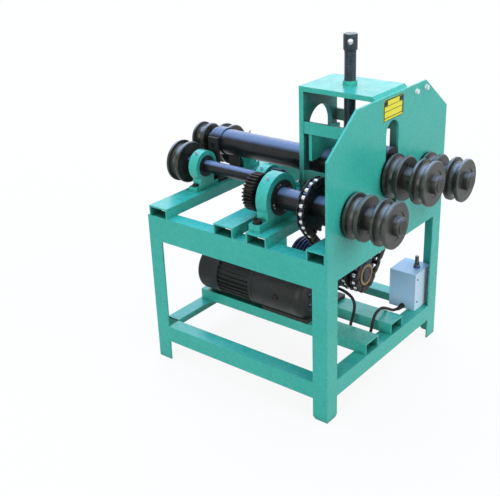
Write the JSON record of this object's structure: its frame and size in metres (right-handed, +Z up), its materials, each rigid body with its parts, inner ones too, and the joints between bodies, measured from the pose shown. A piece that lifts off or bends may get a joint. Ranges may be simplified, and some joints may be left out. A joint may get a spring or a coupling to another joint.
{
  "type": "electric three-roll pipe bender",
  "caption": "Floor-standing electric roll bender: angle-steel table, grooved dies on chain-driven shafts, a screw-pressed upper shaft and a second, narrower set of dies at the rear",
  "frame": {"origin": "on the floor, under the middle of the machine's outside box", "axes": "+X to the right of someone facing the front plate, +Y towards the rear, +Z up; shafts lie along Y"},
  "size_m": [0.72, 0.99, 1.165],
  "materials": {
    "green_paint": "gloss teal-green paint",
    "die_steel": "blackened turned steel",
    "black_steel": "oiled black steel",
    "chain_steel": "oiled steel",
    "bright_steel": "bright steel",
    "bronze": "machined bronze",
    "nameplate": "bare painted plate",
    "drive_paint": "dark grey paint",
    "box_paint": "satin pale blue-grey paint",
    "black_plastic": "matt black",
    "cable_rubber": "matt black"
  },
  "bodies": {
    "frame": {"legs": "green_paint", "side_rail_left": "green_paint", "side_rail_right": "green_paint", "lower_side_rails": "green_paint", "lower_end_rails": "green_paint", "shelf_rails": "green_paint", "cross_channels": "green_paint", "front_plate": "green_paint", "nameplate": "nameplate", "gantry_rear_plate": "green_paint", "gantry_top_plate": "green_paint", "gantry_side_bars": "green_paint", "slide_guides": "green_paint", "screw_nut": "green_paint", "plate_bolts": "bright_steel", "pillow_bolts": "bright_steel", "centre_pillow_left": "green_paint", "centre_pillow_right": "green_paint", "rear_pillows": "green_paint", "flange_bearings": "green_paint", "bearing_inserts": "bright_steel", "arm_pivot_stand": "green_paint", "chain_left": "chain_steel", "chain_right": "chain_steel", "reducer_housing": "drive_paint", "motor_housing": "drive_paint", "motor_stator": "bright_steel", "motor_fan_cover": "drive_paint", "motor_terminal_box": "drive_paint", "control_box": "box_paint", "control_box_lid": "box_paint", "cable": "cable_rubber", "cable_glands": "black_plastic"},
    "left_roll": {"left_shaft": "black_steel", "left_dies": "die_steel", "left_sprocket": "black_steel", "left_gear": "black_steel"},
    "right_roll": {"right_shaft": "black_steel", "right_dies": "die_steel", "right_sprocket": "black_steel", "right_gear": "black_steel"},
    "rear_left_roll": {"rear_left_shaft": "black_steel", "rear_left_die": "die_steel"},
    "rear_right_roll": {"rear_right_shaft": "black_steel", "rear_right_die": "die_steel"},
    "drive_output": {"output_shaft": "black_steel", "drive_sprocket": "black_steel"},
    "rotor": {"motor_rotor": "black_steel"},
    "arm": {"arm_tube": "black_steel", "arm_bushes": "bronze", "slide_block": "black_steel", "saddle": "green_paint"},
    "spindle": {"upper_shaft": "black_steel", "upper_dies": "die_steel", "upper_rear_die": "die_steel"},
    "pad": {"thrust_pad": "black_steel"},
    "screw": {"press_screw": "black_steel"},
    "lever": {"switch_lever": "black_plastic"}
  },
  "joints": [
    {"name": "left_roll_turn", "type": "hinge", "parent": "frame", "child": "left_roll", "pos_m": [-0.225, -0.037, 0.678], "axis": [0, 1, 0], "continuous": true},
    {"name": "right_roll_turn", "type": "hinge", "parent": "frame", "child": "right_roll", "pos_m": [0.225, -0.037, 0.678], "axis": [0, 1, 0], "continuous": true},
    {"name": "rear_left_turn", "type": "hinge", "parent": "frame", "child": "rear_left_roll", "pos_m": [-0.121, 0.223, 0.678], "axis": [0, 1, 0], "continuous": true},
    {"name": "rear_right_turn", "type": "hinge", "parent": "frame", "child": "rear_right_roll", "pos_m": [0.121, 0.223, 0.678], "axis": [0, 1, 0], "continuous": true},
    {"name": "output_turn", "type": "hinge", "parent": "frame", "child": "drive_output", "pos_m": [0, -0.153, 0.36397], "axis": [0, 1, 0], "continuous": true},
    {"name": "rotor_turn", "type": "hinge", "parent": "frame", "child": "rotor", "pos_m": [-0.075, 0.223, 0.266], "axis": [0, 1, 0], "continuous": true},
    {"name": "arm_tilt", "type": "hinge", "parent": "frame", "child": "arm", "pos_m": [0, 0.367, 0.736], "axis": [-1, 0, 0], "range_deg": [-1.9, 2.6]},
    {"name": "spindle_turn", "type": "hinge", "parent": "arm", "child": "spindle", "pos_m": [0, 0.047, 0.736], "axis": [0, 1, 0], "continuous": true},
    {"name": "pad_feed", "type": "slide", "parent": "frame", "child": "pad", "axis": [0, 0, 1], "range_m": [-0.0178, 0.0243]},
    {"name": "screw_turn", "type": "hinge", "parent": "pad", "child": "screw", "pos_m": [0, -0.166, 1], "axis": [0, 0, 1], "range_deg": [-1065, 1455]},
    {"name": "lever_turn", "type": "hinge", "parent": "frame", "child": "lever", "pos_m": [0.299, -0.271, 0.3], "axis": [0, 0, 1], "range_deg": [-45, 45]}
  ],
  "couplings": [
    {"joint": "right_roll_turn", "follows": "left_roll_turn", "ratio": 1},
    {"joint": "rear_left_turn", "follows": "left_roll_turn", "ratio": -1.3636},
    {"joint": "rear_right_turn", "follows": "left_roll_turn", "ratio": -1.3636},
    {"joint": "output_turn", "follows": "left_roll_turn", "ratio": 1.5385},
    {"joint": "screw_turn", "follows": "arm_tilt", "ratio": 558.16},
    {"joint": "pad_feed", "follows": "arm_tilt", "m_per_rad": 0.533}
  ]
}
